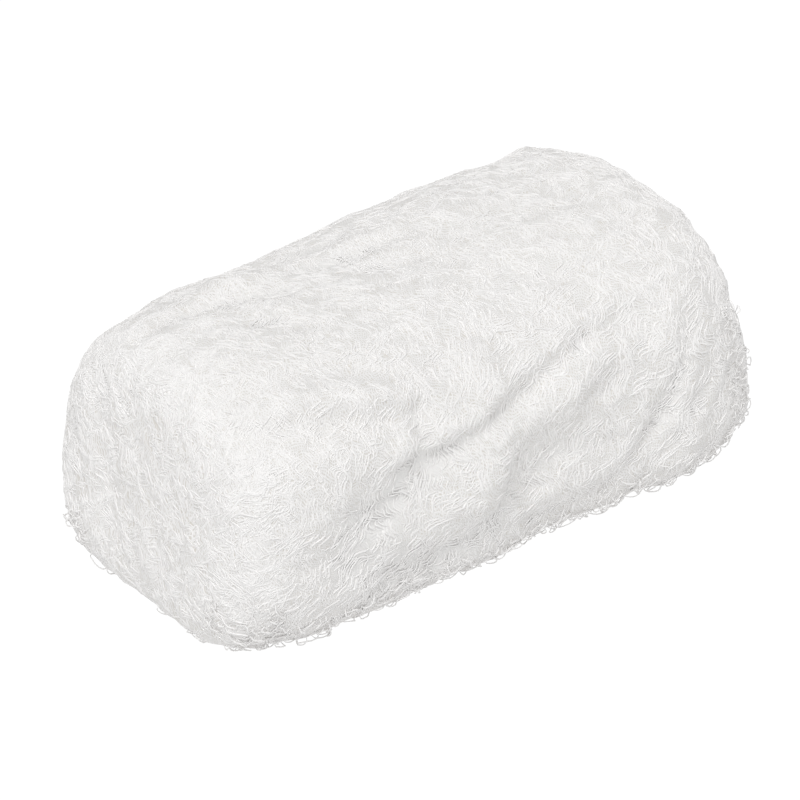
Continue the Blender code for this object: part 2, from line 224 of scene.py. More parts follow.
def section_value(x, name):
    """A column of SECTIONS at x, joined by smooth steps from row to row."""
    along = np.array([row.along for row in SECTIONS], float)
    value = np.array([getattr(row, name) for row in SECTIONS])
    row = np.clip(np.searchsorted(along, x) - 1, 0, len(along) - 2)
    part = np.clip((x - along[row]) / (along[row + 1] - along[row]), 0.0, 1.0)
    return value[row] + (value[row + 1] - value[row]) * part**2 * (3.0 - 2.0 * part)


def plain_form(run, girth):
    """The pressed roll without folds: the outline, scaled by the profile's reach, then leant."""
    x_share = np.interp(run, RUN, RUN_X)
    reach = np.interp(run, RUN, RUN_REACH)
    y_share = np.interp(girth % 360.0, GIRTH, GIRTH_Y)
    z_share = np.interp(girth % 360.0, GIRTH, GIRTH_Z)
    x = x_share * STRIP_WIDTH / 2
    bulge = np.where(y_share > 0, section_value(x, "back"), section_value(x, "front"))
    rise = section_value(x, "top") * (z_share > 0)
    y = reach * (ROLL_WIDTH / 2 + bulge) * y_share
    z = reach * (ROLL_HEIGHT / 2 + rise) * z_share
    y = y + TOP_LEAN * z
    lean = np.where(x_share < 0, END_LEAN["near"], END_LEAN["far"])
    x = x + lean * x_share**4 * z
    return np.stack([x, y, z + ROLL_HEIGHT / 2 - FLATTENED], axis=-1)


def unit(vectors):
    """Each vector over its own length."""
    return vectors / np.maximum(np.linalg.norm(vectors, axis=-1, keepdims=True), 1e-9)


def normals_of(points):
    """Outward normals of a (run, girth) grid, from the steps to its neighbours."""
    round_step = np.roll(points, -1, axis=1) - np.roll(points, 1, axis=1)
    return unit(np.cross(np.gradient(points, axis=0), round_step))


def through(fold):
    """The quadratic curve that meets a fold's start, middle and end, in (run, girth)."""
    share = np.linspace(0.0, 1.0, PATH_POINTS)[:, None]
    start, middle, end = (np.array(place, float) for place in fold[1:4])
    return (
        start * (1 - share) * (1 - 2 * share)
        + middle * 4 * share * (1 - share)
        + end * share * (2 * share - 1)
    )


def fold_height(points, path, on_path, fold):
    """-depth * exp(-gap^2) round the nearest place of the path, with gap = distance / width,
    a narrower trough of the same shape in its bottom, and a lip that peaks beside it."""
    height = np.zeros(len(points))
    reach = FOLD_REACH * fold.width
    near = ((points > path.min(axis=0) - reach) & (points < path.max(axis=0) + reach)).all(axis=1)
    away = points[near, None, :] - path[None, :, :]
    distance = np.linalg.norm(away, axis=-1)
    nearest = np.argmin(distance, axis=1)
    each = np.arange(len(nearest))
    depth = np.interp(nearest / (PATH_POINTS - 1), (0.0, 0.5, 1.0), fold.depth)
    gap = distance[each, nearest] / fold.width
    fall = depth * np.exp(-(gap**2))
    fall += CORE_SHARE * np.maximum(depth, 0.0) * np.exp(-((gap / CORE_WIDTH) ** 2))
    if fold.lip:
        left = unit(np.cross(on_path[nearest], np.gradient(path, axis=0)[nearest]))
        aside = np.einsum("ij,ij->i", left, away[each, nearest]) / np.maximum(gap, 1e-6)
        lifted = 0.5 + 0.5 * np.sign(fold.lip) * aside / fold.width
        rise = gap**2 * np.exp(1.0 - (gap / LIP_WIDTH) ** 2)
        fall -= lifted * abs(fold.lip) * depth / max(fold.depth) * rise
    height[near] = -fall
    return height


def unwrapped(fold):
    """The same fold with girths that don't jump at 360 degrees."""
    places = [fold.start]
    for run, girth in (fold.middle, fold.end):
        last = places[-1][1]
        places.append((run, last + (girth - last + 180.0) % 360.0 - 180.0))
    return fold._replace(start=places[0], middle=places[1], end=places[2])


DRIFT_WAVES = 8
DRIFT_LENGTHS = (0.7, 1.5)  # the waves' lengths, as shares of the drift's size
DRIFT_SPREAD = 2.2  # what the waves' sum is divided by


def drift(places, size, seed):
    """A smooth uneven field from -1 to 1: the tanh of a sum of plane waves of random
    direction and phase, each about as long as size."""
    rng = np.random.default_rng(seed)
    directions = unit(rng.normal(size=(DRIFT_WAVES, 3)))
    lengths = size * rng.uniform(*DRIFT_LENGTHS, DRIFT_WAVES)
    phases = rng.uniform(0.0, 2 * np.pi, DRIFT_WAVES)
    field = np.zeros(places.shape[:-1])
    for direction, length, phase in zip(directions, lengths, phases):
        field += np.sin(2 * np.pi * (places @ direction) / length + phase)
    return np.tanh(field / DRIFT_SPREAD)


def skin_heights(points, run, girth):
    """Height of all the folds, swells and small crinkles at each point of the grid."""
    flat = points.reshape(-1, 3)
    height = np.zeros(len(flat))
    for fold in map(unwrapped, FOLDS):
        place = through(fold)
        path = plain_form(place[:, 0], place[:, 1])
        nearby = plain_form(place[:, 0] + PATH_STEP, place[:, 1])
        around = plain_form(place[:, 0], place[:, 1] + PATH_STEP)
        height += fold_height(flat, path, np.cross(nearby - path, around - path), fold)
    for end, side in (("near", -1.0), ("far", 1.0)):
        face = (side * run.reshape(-1) - RUN_END + END_CREASE_REACH) / END_CREASE_FADE
        face = np.clip(face, 0.0, 1.0)
        for fold in END_FOLDS[end]:
            path = np.zeros((PATH_POINTS, 3))
            path[:, 1:] = through(fold)
            on_path = np.tile((side, 0.0, 0.0), (PATH_POINTS, 1))
            height += face * fold_height(flat * (0.0, 1.0, 1.0), path, on_path, fold)
    reach = np.interp(run, RUN, RUN_REACH)
    for swell in SWELLS:
        turn = swell.along * run / (2 * RUN_END) + swell.around * girth / 360.0 + swell.phase
        height += (swell.height * reach * np.sin(2 * np.pi * turn)).reshape(-1)
    for crinkle in CRINKLES:
        drawn_out = flat * (crinkle.along, 1.0, 1.0)
        height += crinkle.height * drift(drawn_out, crinkle.length, crinkle.seed)
    return height.reshape(run.shape)


def wound_skin():
    """Points and normals of the roll's outer surface on an even (run, girth) grid, and the
    height of its folds at each point. What would be under the floor is pressed flat."""
    step = 2 * RUN_END / RINGS
    rings = np.linspace(-RUN_END + step / 2, RUN_END - step / 2, RINGS)
    around = np.linspace(0.0, 360.0, COLUMNS, endpoint=False)
    run, girth = np.meshgrid(rings, around, indexing="ij")
    plain = plain_form(run, girth)
    heights = skin_heights(plain, run, girth)
    points = plain + normals_of(plain) * heights[..., None]
    points[..., 2] = np.maximum(points[..., 2], 0.0)
    centre = (points.min(axis=(0, 1)) + points.max(axis=(0, 1))) / 2
    points -= centre * (1.0, 1.0, 0.0)
    return points, normals_of(points), heights


SKIN, SKIN_NORMALS, SKIN_HEIGHTS = wound_skin()
# from 0 on the open cloth to 1 in the bottom of a trough
SKIN_HOLLOW = np.clip((-SKIN_HEIGHTS - HOLLOW_FROM) / HOLLOW_OVER, 0.0, 1.0)


def on_skin(run, girth, height):
    """Points at a height over the skin, its normals there, and how deep they lie in a trough,
    by blending the grid's four nearest."""
    # rows end just short of the last one, so that each has a next one
    row = np.clip((run / RUN_END + 1.0) * RINGS / 2 - 0.5, 0.0, RINGS - 1.001)
    column = (girth / 360.0 % 1.0) * COLUMNS
    low_row = row.astype(int)
    low_column = column.astype(int) % COLUMNS
    next_column = (low_column + 1) % COLUMNS
    down = (row - low_row)[..., None]
    aside = (column - np.floor(column))[..., None]

    def blend(grid):
        """A grid's value at each place: its four nearest, each weighted by how near it is."""
        here = grid[low_row, low_column] * (1 - aside) + grid[low_row, next_column] * aside
        there = grid[low_row + 1, low_column] * (1 - aside)
        there = there + grid[low_row + 1, next_column] * aside
        return here * (1 - down) + there * down

    normals = unit(blend(SKIN_NORMALS))
    hollow = blend(SKIN_HOLLOW[..., None])
    places = blend(SKIN) + normals * (height[..., None] + BRIDGE * hollow)
    return places, normals, hollow[..., 0]


def gauze_mesh(name, points, quads, triangles, layout):
    """A mesh from arrays of points in mm and of face corners. layout is the map that
    a picture of its colours would be laid out by, one pair for each corner."""
    corners = np.concatenate([quads.ravel(), triangles.ravel()]).astype(np.int32)
    counts = np.repeat((4, 3), (len(quads), len(triangles)))
    mesh = bpy.data.meshes.new(name)
    mesh.vertices.add(len(points))
    mesh.vertices.foreach_set("co", (points * MM).astype(np.float32).ravel())
    mesh.loops.add(len(corners))
    mesh.loops.foreach_set("vertex_index", corners)
    mesh.polygons.add(len(counts))
    mesh.polygons.foreach_set("loop_start", (np.cumsum(counts) - counts).astype(np.int32))
    mesh.update(calc_edges=True)
    mesh.uv_layers.new(name="OFBake").uv.foreach_set("vector", layout.astype(np.float32).ravel())
    mesh.shade_smooth()
    return mesh


def set_attribute(mesh, name, values):
    """A number for each point of a mesh, for its material to read."""
    layer = mesh.attributes.new(name, "FLOAT", "POINT")
    layer.data.foreach_set("value", np.asarray(values, np.float32).ravel())


def ply_mesh():
    """The grid of the skin, sunk a little, closed by one point at each end's centre. Its map
    has the run across and the girth up."""
    off_floor = np.clip(SKIN[..., 2] - RESTING, 0.0, 1.0)
    sunk = SKIN - SKIN_NORMALS * (SUNK * off_floor)[..., None]
    centres = sunk[[0, -1]].mean(axis=1)
    points = np.concatenate([sunk.reshape(-1, 3), centres])
    points[:, 2] = np.maximum(points[:, 2], 0.0)
    ring, column = np.meshgrid(np.arange(RINGS - 1), np.arange(COLUMNS), indexing="ij")
    after = (column + 1) % COLUMNS
    quads = np.stack(
        [
            ring * COLUMNS + column,
            (ring + 1) * COLUMNS + column,
            (ring + 1) * COLUMNS + after,
            ring * COLUMNS + after,
        ],
        axis=-1,
    ).reshape(-1, 4)
    around = np.arange(COLUMNS)
    following = (around + 1) % COLUMNS
    last = (RINGS - 1) * COLUMNS
    near_centre = np.full(COLUMNS, RINGS * COLUMNS)
    near_cap = np.stack([near_centre, around, following], axis=-1)
    far_cap = np.stack([near_centre + 1, last + following, last + around], axis=-1)

    here = (ring + 0.5) / RINGS
    there = (ring + 1.5) / RINGS
    left = column / COLUMNS
    right = (column + 1) / COLUMNS
    quad_map = np.stack([here, left, there, left, there, right, here, right], axis=-1)
    rim = np.full(COLUMNS, 0.5 / RINGS)
    low, high = around / COLUMNS, (around + 1) / COLUMNS
    middle = (low + high) / 2
    near_map = np.stack([rim * 0, middle, rim, low, rim, high], axis=-1)
    far_map = np.stack([rim * 0 + 1, middle, 1 - rim, high, 1 - rim, low], axis=-1)
    layout = np.concatenate([quad_map.ravel(), near_map.ravel(), far_map.ravel()])
    mesh = gauze_mesh("wound_gauze", points, quads, np.concatenate([near_cap, far_cap]), layout)

    # how deep each point lies in a trough, by which the material paints an even tone there
    set_attribute(mesh, "hollow", np.append(SKIN_HOLLOW, (0.0, 0.0)))
    faces_end = np.clip(np.abs(SKIN_NORMALS[..., 0]) * TURN_TO_END - 1.0, 0.0, 1.0)
    set_attribute(mesh, "end_face", np.append(faces_end, (1.0, 1.0)))
    return mesh


def node(tree, kind, links=(), **settings):
    """A shader node: settings are its properties, or its inputs where the name is one of
    them, and links are pairs of an input and the output or the number that feeds it."""
    made = tree.nodes.new(kind)
    for name, value in settings.items():
        if hasattr(made, name):
            setattr(made, name, value)
        else:
            made.inputs[name.replace("_", " ")].default_value = value
    for target, source in links:
        if isinstance(source, bpy.types.NodeSocket):
            tree.links.new(source, made.inputs[target])
        else:
            made.inputs[target].default_value = source
    return made


def reckoned(tree, operation, *terms):
    """A Math node's result from its terms, which are numbers or other nodes' outputs."""
    return node(tree, "ShaderNodeMath", enumerate(terms), operation=operation).outputs[0]


def ramped(tree, value, stops):
    """A colour from a value, blended between stops: pairs of a value and its colour."""
    ramp = node(tree, "ShaderNodeValToRGB", [("Fac", value)])
    elements = ramp.color_ramp.elements
    for position, _ in stops[1:-1]:
        elements.new(position)
    for element, (position, colour) in zip(elements, stops):
        element.position = position
        element.color = (*colour, 1.0)
    return ramp.outputs["Color"]


BEND_STRETCH = 0.3  # draws the bends out across the yarns, so that neighbours bend alike
BENDS = 0.4  # about so many in a mm along them
DIVES = 0.45  # times in a mm that a yarn dives, on average
DIVE_RANGE = (0.30, 0.62)  # values of the noise from out of sight to in full view


def crimped_yarns():
    """Rows of crimped yarns that lie side by side along Y. The height is the sine of
    (X + waver * noise) / pitch, from 0 to 1, times a second noise that hides a yarn where it
    dives under its neighbours."""
    group = bpy.data.node_groups.new("crimped_yarns", "ShaderNodeTree")
    for name, kind, side in (
        ("Place", "NodeSocketVector", "INPUT"),
        ("Pitch", "NodeSocketFloat", "INPUT"),
        ("Waver", "NodeSocketFloat", "INPUT"),
        ("Height", "NodeSocketFloat", "OUTPUT"),
    ):
        group.interface.new_socket(name, in_out=side, socket_type=kind)
    start = group.nodes.new("NodeGroupInput")
    end = group.nodes.new("NodeGroupOutput")
    place = start.outputs["Place"]
    long = node(group, "ShaderNodeMapping", [("Vector", place)], Scale=(BEND_STRETCH, 1.0, 1.0))
    bend = node(group, "ShaderNodeTexNoise", [("Vector", long.outputs[0])], Scale=BENDS, Detail=1.0)
    split = node(group, "ShaderNodeSeparateXYZ", [("Vector", place)])
    shift = reckoned(group, "MULTIPLY", bend.outputs["Fac"], start.outputs["Waver"])
    across = reckoned(group, "ADD", split.outputs["X"], shift)
    turns = reckoned(group, "DIVIDE", across, start.outputs["Pitch"])
    wave = reckoned(group, "SINE", reckoned(group, "MULTIPLY", turns, math.tau))
    share = node(group, "ShaderNodeMapRange", [("Value", wave)], From_Min=-1.0)
    lengthways = reckoned(group, "MULTIPLY", split.outputs["Y"], DIVES)
    spot = node(group, "ShaderNodeCombineXYZ", [("X", turns), ("Y", lengthways)])
    dive = node(group, "ShaderNodeTexNoise", [("Vector", spot.outputs[0])], Scale=1.0, Detail=1.0)
    shown = node(group, "ShaderNodeMapRange", [("Value", dive.outputs["Fac"])])
    shown.inputs["From Min"].default_value = DIVE_RANGE[0]
    shown.inputs["From Max"].default_value = DIVE_RANGE[1]
    height = reckoned(group, "MULTIPLY", share.outputs[0], shown.outputs[0])
    group.links.new(height, end.inputs["Height"])
    return group


CRIMPED_YARNS = crimped_yarns()
# Two layers of yarns cross each other: the turn of each in radians and its pitch in mm.
SIDE_LAYERS = ((0.15, 0.46), (-1.1, 0.52))
END_LAYERS = ((0.6, 0.44), (-0.7, 0.48))
WAVER = 3.5  # how far the yarns of a layer bend aside, in mm
END_TURN = (0.5, 0.0, math.pi / 2)  # turns the roll's own axes to those of the end layers
PLY_COLOURS_AND_GAP_SHADE = (  # by height, with painted shade that darkens the gaps most and the flanks less
    (0.06, (0.73, 0.702, 0.66)),  # a gap, darkened as painted shade
    (0.28, (0.85, 0.84, 0.831)),  # a yarn's flank, with a little painted shade
    (0.8, (0.905, 0.896, 0.888)),  # its crown
)
PAINTED_TROUGH_TONE = (0.87, 0.862, 0.852, 1.0)  # painted light in the bottom of a trough: one even tone instead of the weave and its painted gap shade
YARN_RELIEF = 0.08 * MM


def ply_material():
    """The ply under the surface yarns: white yarns with painted shade in the warm, dimmer gaps
    between them and on their flanks, and one even painted tone in the bottom of a trough.
    """
    material = bpy.data.materials.new("gauze_ply")
    material.use_nodes = True
    tree = material.node_tree
    shader = tree.nodes["Principled BSDF"]
    shader.inputs["Roughness"].default_value = 0.95
    shader.inputs["Specular IOR Level"].default_value = 0.15
    layout = node(tree, "ShaderNodeUVMap", uv_map="OFBake")
    place = node(tree, "ShaderNodeTexCoord")
    side_mm = node(tree, "ShaderNodeMapping", [("Vector", layout.outputs[0])])
    side_mm.inputs["Scale"].default_value = (2 * RUN_END, GIRTH_LENGTH, 1.0)
    face_mm = node(tree, "ShaderNodeMapping", [("Vector", place.outputs["Object"])])
    face_mm.inputs["Rotation"].default_value = END_TURN
    face_mm.inputs["Scale"].default_value = (1 / MM, 1 / MM, 1 / MM)
    end_face = node(tree, "ShaderNodeAttribute", attribute_name="end_face")
    hollow = node(tree, "ShaderNodeAttribute", attribute_name="hollow")

    def higher_of(layers, place_mm):
        """The height of whichever layer lies higher at each place."""
        heights = []
        for turn, pitch in layers:
            turned = node(tree, "ShaderNodeMapping", [("Vector", place_mm)])
            turned.inputs["Rotation"].default_value = (0.0, 0.0, turn)
            yarns = node(tree, "ShaderNodeGroup", node_tree=CRIMPED_YARNS)
            tree.links.new(turned.outputs[0], yarns.inputs["Place"])
            yarns.inputs["Pitch"].default_value = pitch
            yarns.inputs["Waver"].default_value = WAVER
            heights.append(yarns.outputs["Height"])
        return reckoned(tree, "MAXIMUM", *heights)

    side = higher_of(SIDE_LAYERS, side_mm.outputs[0])
    face = higher_of(END_LAYERS, face_mm.outputs[0])
    # a Mix node takes its share at input 0, then numbers at 2 and 3 or colours at 6 and 7
    both = node(tree, "ShaderNodeMix", [(0, end_face.outputs["Fac"]), (2, side), (3, face)])
    height = both.outputs[0]
    # the weave's colour by height, with its painted gap shade
    colour = ramped(tree, height, PLY_COLOURS_AND_GAP_SHADE)
    # deep in a trough the even painted tone takes the weave's place, as painted light
    soft_links = [(0, hollow.outputs["Fac"]), (6, colour), (7, PAINTED_TROUGH_TONE)]
    soft = node(tree, "ShaderNodeMix", soft_links, data_type="RGBA")
    tree.links.new(soft.outputs[2], shader.inputs["Base Color"])
    bump = node(tree, "ShaderNodeBump", [("Height", height)], Strength=1.0, Distance=YARN_RELIEF)
    tree.links.new(bump.outputs[0], shader.inputs["Normal"])
    return material


def place_piece(mesh, material):
    """Adds one piece of the roll to the scene, moving with it and finished as its gauze."""
    mesh.materials.append(material)
    piece = bpy.data.objects.new(mesh.name, mesh)
    bpy.context.scene.collection.objects.link(piece)
    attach(piece, "root")
    return piece


wound_gauze = place_piece(ply_mesh(), ply_material())
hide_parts("gauze_roll")

# ================================================================ yarns of the long sides
# The outer ply's lengthwise yarns run round the roll. They are highly twisted cotton, about
# 0.25 mm thick, which crinkles when it is washed, so each shows as short curled lengths that
# rise out of the ply and dive under their neighbours, side by side in sheaves.
STEPS = 8  # points along one visible length of yarn
SIDES = 4
FOOT = -0.24  # height of a length's tips over the ply
TIP_TAPER = 0.3  # exponent: a yarn keeps its width until close to its tips
OFF_FLOOR = 0.02  # least height of a yarn's surface over the floor
CELL_MARGIN = 0.08  # bare edge of a yarn's cell on the map, as a share of the cell


def yarn_mesh(name, centres, ups, widths, shade):
    """Four-sided tubes along (yarns, steps, 3) centre lines, thinner towards their tips. Each
    ring is centre + radius * (cos(turn) * across + sin(turn) * up), with one flat side up, and
    the first and last points are the closed tips."""
    yarns, steps, _ = centres.shape
    forward = unit(np.gradient(centres, axis=1))
    across = unit(np.cross(forward, ups))
    up = np.cross(across, forward)
    turn = 2 * np.pi * (np.arange(SIDES) + 0.5) / SIDES
    taper = (1.0 - np.linspace(-1.0, 1.0, steps)[1:-1] ** 2) ** TIP_TAPER
    radius = (widths / np.sqrt(2.0))[:, None, None, None] * taper[:, None, None]
    ring = radius * (
        np.cos(turn)[:, None] * across[:, 1:-1, None, :]
        + np.sin(turn)[:, None] * up[:, 1:-1, None, :]
    )
    rings = steps - 2
    tubes = (centres[:, 1:-1, None, :] + ring).reshape(yarns, rings * SIDES, 3)
    points = np.concatenate([tubes, centres[:, [0, -1]]], axis=1)
    points[..., 2] = np.maximum(points[..., 2], OFF_FLOOR)
    count = rings * SIDES + 2

    row, side = np.meshgrid(np.arange(rings - 1), np.arange(SIDES), indexing="ij")
    after = (side + 1) % SIDES
    quads = np.stack(
        [
            row * SIDES + side,
            row * SIDES + after,
            (row + 1) * SIDES + after,
            (row + 1) * SIDES + side,
        ],
        axis=-1,
    ).reshape(-1, 4)
    around = np.arange(SIDES)
    following = (around + 1) % SIDES
    last = (rings - 1) * SIDES
    first_tip = np.stack([np.full(SIDES, count - 2), following, around], axis=-1)
    last_tip = np.stack([np.full(SIDES, count - 1), last + around, last + following], axis=-1)
    offset = (np.arange(yarns) * count)[:, None, None]
    all_quads = (quads + offset).reshape(-1, 4)
    all_tips = (np.concatenate([first_tip, last_tip]) + offset).reshape(-1, 3)

    # each yarn has a cell of its own on the map, with its sides as strips along the cell
    cells = math.ceil(math.sqrt(yarns))
    low = (np.arange(yarns) % cells / cells)[:, None, None]
    high = (np.arange(yarns) // cells / cells)[:, None, None]

    def in_cell(sideways, lengthways):
        """Places on the map from shares across and along a yarn's cell, inside its margin."""
        pair = np.stack(np.broadcast_arrays(sideways, lengthways), axis=-1)
        pair = (CELL_MARGIN + (1.0 - 2 * CELL_MARGIN) * pair) / cells
        return pair + np.concatenate(np.broadcast_arrays(low, high), axis=-1)[:, :, None]

    left, right = side.ravel() / SIDES, (side.ravel() + 1) / SIDES
    here, there = (row.ravel() + 1) / (rings + 1), (row.ravel() + 2) / (rings + 1)
    quad_map = in_cell(
        np.stack([left, right, right, left], axis=-1), np.stack([here, here, there, there], axis=-1)
    )
    left, right = around / SIDES, (around + 1) / SIDES
    middle = (left + right) / 2
    start, end = 1 / (rings + 1), rings / (rings + 1)
    first_across = np.stack([middle, right, left], axis=-1)
    last_across = np.stack([middle, left, right], axis=-1)
    first_along = np.tile((0.0, start, start), (SIDES, 1))
    last_along = np.tile((1.0, end, end), (SIDES, 1))
    tip_map = in_cell(
        np.concatenate([first_across, last_across]), np.concatenate([first_along, last_along])
    )
    layout = np.concatenate([quad_map.ravel(), tip_map.ravel()])
    mesh = gauze_mesh(name, points.reshape(-1, 3), all_quads, all_tips, layout)
    set_attribute(mesh, "shade", np.repeat(shade, count))
    return mesh


# by the sum of a yarn's own shade and of a cloud over the cloth
YARN_COLOURS = ((0.4, (0.90, 0.8905, 0.884)), (1.0, (0.96, 0.95, 0.943)))
CLOUDS = 160.0  # about so many in a metre


def yarn_material():
    """Bleached twisted cotton: near white, each yarn a little lighter or darker."""
    material = bpy.data.materials.new("gauze_yarn")
    material.use_nodes = True
    tree = material.node_tree
    shader = tree.nodes["Principled BSDF"]
    shader.inputs["Roughness"].default_value = 0.85
    shader.inputs["Specular IOR Level"].default_value = 0.25
    shade = node(tree, "ShaderNodeAttribute", attribute_name="shade")
    place = node(tree, "ShaderNodeTexCoord")
    cloud = node(tree, "ShaderNodeTexNoise", [("Vector", place.outputs["Object"])], Scale=CLOUDS)
    total = reckoned(tree, "ADD", shade.outputs["Fac"], cloud.outputs["Fac"])
    tree.links.new(ramped(tree, total, YARN_COLOURS), shader.inputs["Base Color"])
    return material


GAUZE_YARN = yarn_material()


def side_place(along, around):
    """(run, girth) of a place on the long sides, from mm along the roll and mm round it."""
    return along, around / GIRTH_LENGTH * 360.0


# place turns mm on the cloth into (run, girth), yarns is the number side by side in a sheaf,
# spacing their distance, half the range of half a length and width the yarn's, all in mm.
# lean is the angle from straight round the roll, and spread and curl are how much heading and
# bend differ. peak is the range of heights over the ply.
Sheaves = namedtuple("Sheaves", "name seed place yarns spacing half width lean spread curl peak")

# Headings drift over the cloth in slow and in quick turns: the mm that each takes, the quick
# turns' share of the slow ones, and the share that differs from sheaf to sheaf.
SLOW_TURN = 17.0
QUICK_TURN = 6.5
QUICK_SHARE = 0.7
HEADING_SHARE = 0.2

# A curve has a shared part, which drifts over the cloth in size mm, and a spread by which
# each sheaf differs from it.
Curve = namedtuple("Curve", "shared size seed differs")
BEND = Curve(0.85, 7.0, 101, 0.16)
SNAKE = Curve(0.50, 5.0, 102, 0.12)
CRIMP_DIFFERS = 0.07

# How much the yarns of one sheaf differ, in radians, mm and shares of half a length.
Line = namedtuple("Line", "heading half bend snake crimp phase")
UNLIKE = Line(heading=0.08, half=0.25, bend=0.05, snake=0.04, crimp=0.03, phase=0.3)
LINE_UNLIKE = 0.12  # of the spacing, aside
SHIFT_UNLIKE = 0.4  # mm, along
WIDTH_SHARE = (0.85, 1.15)  # of the form's width
SHADE = (0.2, 0.6)  # its place in YARN_COLOURS, before the cloud is added

ARCH = 0.6  # exponent of a yarn's rise: under 1 it stays near its peak for longer
LOWER_BELOW = 0.03  # how much lower the peaks are where the cloth faces down
LEFT_OUT = 0.1  # share of the yarns that is left out in the bottom of a trough
UNDERNEATH = -0.93  # a yarn is left out too where the z of the cloth's normal is under this
RESTS_UNDER = 1.5  # all along it, and its height under this, since the roll rests there


def sheaf_mesh(form, along, around):
    """Curled yarn lengths in sheaves that start from places in mm on the skin. With t from -1
    to 1, a length goes half * t along its sheaf's heading, and half * (bend * (1 - t^2) +
    snake * sin(pi t) + crimp * sin(2 pi t + phase)) aside of its own line in the sheaf. It
    rises from FOOT to its peak as (1 - t^2)^ARCH. Heading, bend and snake drift over the skin,
    so that neighbours lie alike. Where the cloth faces down the peaks are lower, in the bottom
    of a trough a few yarns are left out, and so are those that would lie on the floor."""
    rng = np.random.default_rng(form.seed)
    spots, outward, _ = on_skin(*form.place(along, around), np.zeros(len(along)))

    def curved(curve):
        """A curve's value for each sheaf: its shared drift, and what is the sheaf's own."""
        own = rng.normal(0.0, curve.differs, len(along))
        return form.curl * (curve.shared * drift(spots, curve.size, curve.seed) + own)

    heading = np.pi / 2 + form.lean + form.spread * drift(spots, SLOW_TURN, form.seed + 2)
    heading += QUICK_SHARE * form.spread * drift(spots, QUICK_TURN, form.seed + 3)
    heading += rng.normal(0.0, HEADING_SHARE * form.spread, len(along))
    half = rng.uniform(*form.half, len(along))
    bend = curved(BEND)
    snake = curved(SNAKE)
    crimp = form.curl * rng.normal(0.0, CRIMP_DIFFERS, len(along))
    phase = rng.uniform(0.0, 2 * np.pi, len(along))

    member = np.tile(np.arange(form.yarns) - (form.yarns - 1) / 2, len(along))
    count = len(member)

    def each(values, unlike):
        """A sheaf's value for each of its yarns, which differ from it by unlike."""
        return (np.repeat(values, form.yarns) + rng.normal(0.0, unlike, count))[:, None]

    of_sheaf = Line(heading, half, bend, snake, crimp, phase)
    heading, half, bend, snake, crimp, phase = (each(*pair) for pair in zip(of_sheaf, UNLIKE))
    line = (form.spacing * (member + rng.normal(0.0, LINE_UNLIKE, count)))[:, None]
    shift = rng.normal(0.0, SHIFT_UNLIKE, count)[:, None]
    t = np.linspace(-1.0, 1.0, STEPS)
    forward = half * t + shift
    aside = half * (bend * (1 - t**2) + snake * np.sin(np.pi * t)) + line
    aside += half * crimp * np.sin(2 * np.pi * t + phase)
    run, girth = form.place(
        each(along, 0.0) + forward * np.cos(heading) - aside * np.sin(heading),
        each(around, 0.0) + forward * np.sin(heading) + aside * np.cos(heading),
    )
    peak = rng.uniform(*form.peak, count)[:, None]
    facing_down = np.clip(-2.0 * outward[:, 2], 0.0, 1.0)  # 1 from 30 degrees down
    peak -= LOWER_BELOW * each(facing_down, 0.0)
    height = FOOT + (peak - FOOT) * (1 - t**2) ** ARCH - SUNK
    centres, ups, hollow = on_skin(run, girth, height)
    kept = rng.uniform(size=count) > LEFT_OUT * hollow.mean(axis=1)
    turned_under = ups[:, :, 2].max(axis=1) <= UNDERNEATH
    kept &= ~(turned_under & (centres[:, :, 2].max(axis=1) <= RESTS_UNDER))
    width = form.width * rng.uniform(*WIDTH_SHARE, count)
    shade = rng.uniform(*SHADE, count)
    return yarn_mesh(form.name, centres[kept], ups[kept], width[kept], shade[kept])


SCATTER = 0.35  # how far a sheaf may be from its place on the grid, as a share of a cell


def scattered(rng, from_along, to_along, from_around, to_around, pitch, row):
    """Places in mm on an even grid, with every second column half a row on, each moved by
    SCATTER of a cell at most."""
    columns = int((to_along - from_along) / pitch)
    rows = int((to_around - from_around) / row)
    column, line = np.meshgrid(np.arange(columns) + 0.5, np.arange(rows) + 0.5, indexing="ij")
    column, line = column.ravel(), line.ravel()
    along = from_along + (column + rng.uniform(-SCATTER, SCATTER, len(column))) * pitch
    line = line + 0.5 * (column.astype(int) % 2) + rng.uniform(-SCATTER, SCATTER, len(line))
    return along, from_around + line * row


SIDE_REACH = 63.0  # mm each way from the middle of the roll, which is a little past its rims
LYING = (-0.03, 0.11)  # heights over the ply of a yarn that lies in it
FRONT = Sheaves("front_yarns", 10, side_place, 5, 0.54, (1.4, 2.6), 0.21, -0.3, 0.5, 1.0, LYING)
TOP = FRONT._replace(name="top_yarns", seed=20, lean=0.0)
BACK = FRONT._replace(name="back_yarns", seed=30, lean=0.05, spacing=0.6, width=0.26)


def side_yarns(form, low, high, pitch, row):
    """Yarns on a band of the long sides, from low to high degrees round the roll, with a
    sheaf in each cell of pitch mm along by row mm round."""
    low, high = low / 360.0 * GIRTH_LENGTH, high / 360.0 * GIRTH_LENGTH
    spread_rng = np.random.default_rng(form.seed + 1)
    places = scattered(spread_rng, -SIDE_REACH, SIDE_REACH, low, high, pitch, row)
    place_piece(sheaf_mesh(form, *places), GAUZE_YARN)


side_yarns(FRONT, low=-42, high=50, pitch=2.5, row=3.1)
side_yarns(TOP, low=46, high=142, pitch=2.5, row=3.2)
side_yarns(BACK, low=138, high=232, pitch=3.1, row=3.9)

# ================================================================ yarns of the end faces
# At both ends the plies' edges meet the eye: short lengths of the same yarn, finer and
# closer than on the sides, that lie over each other in every direction in low curls.


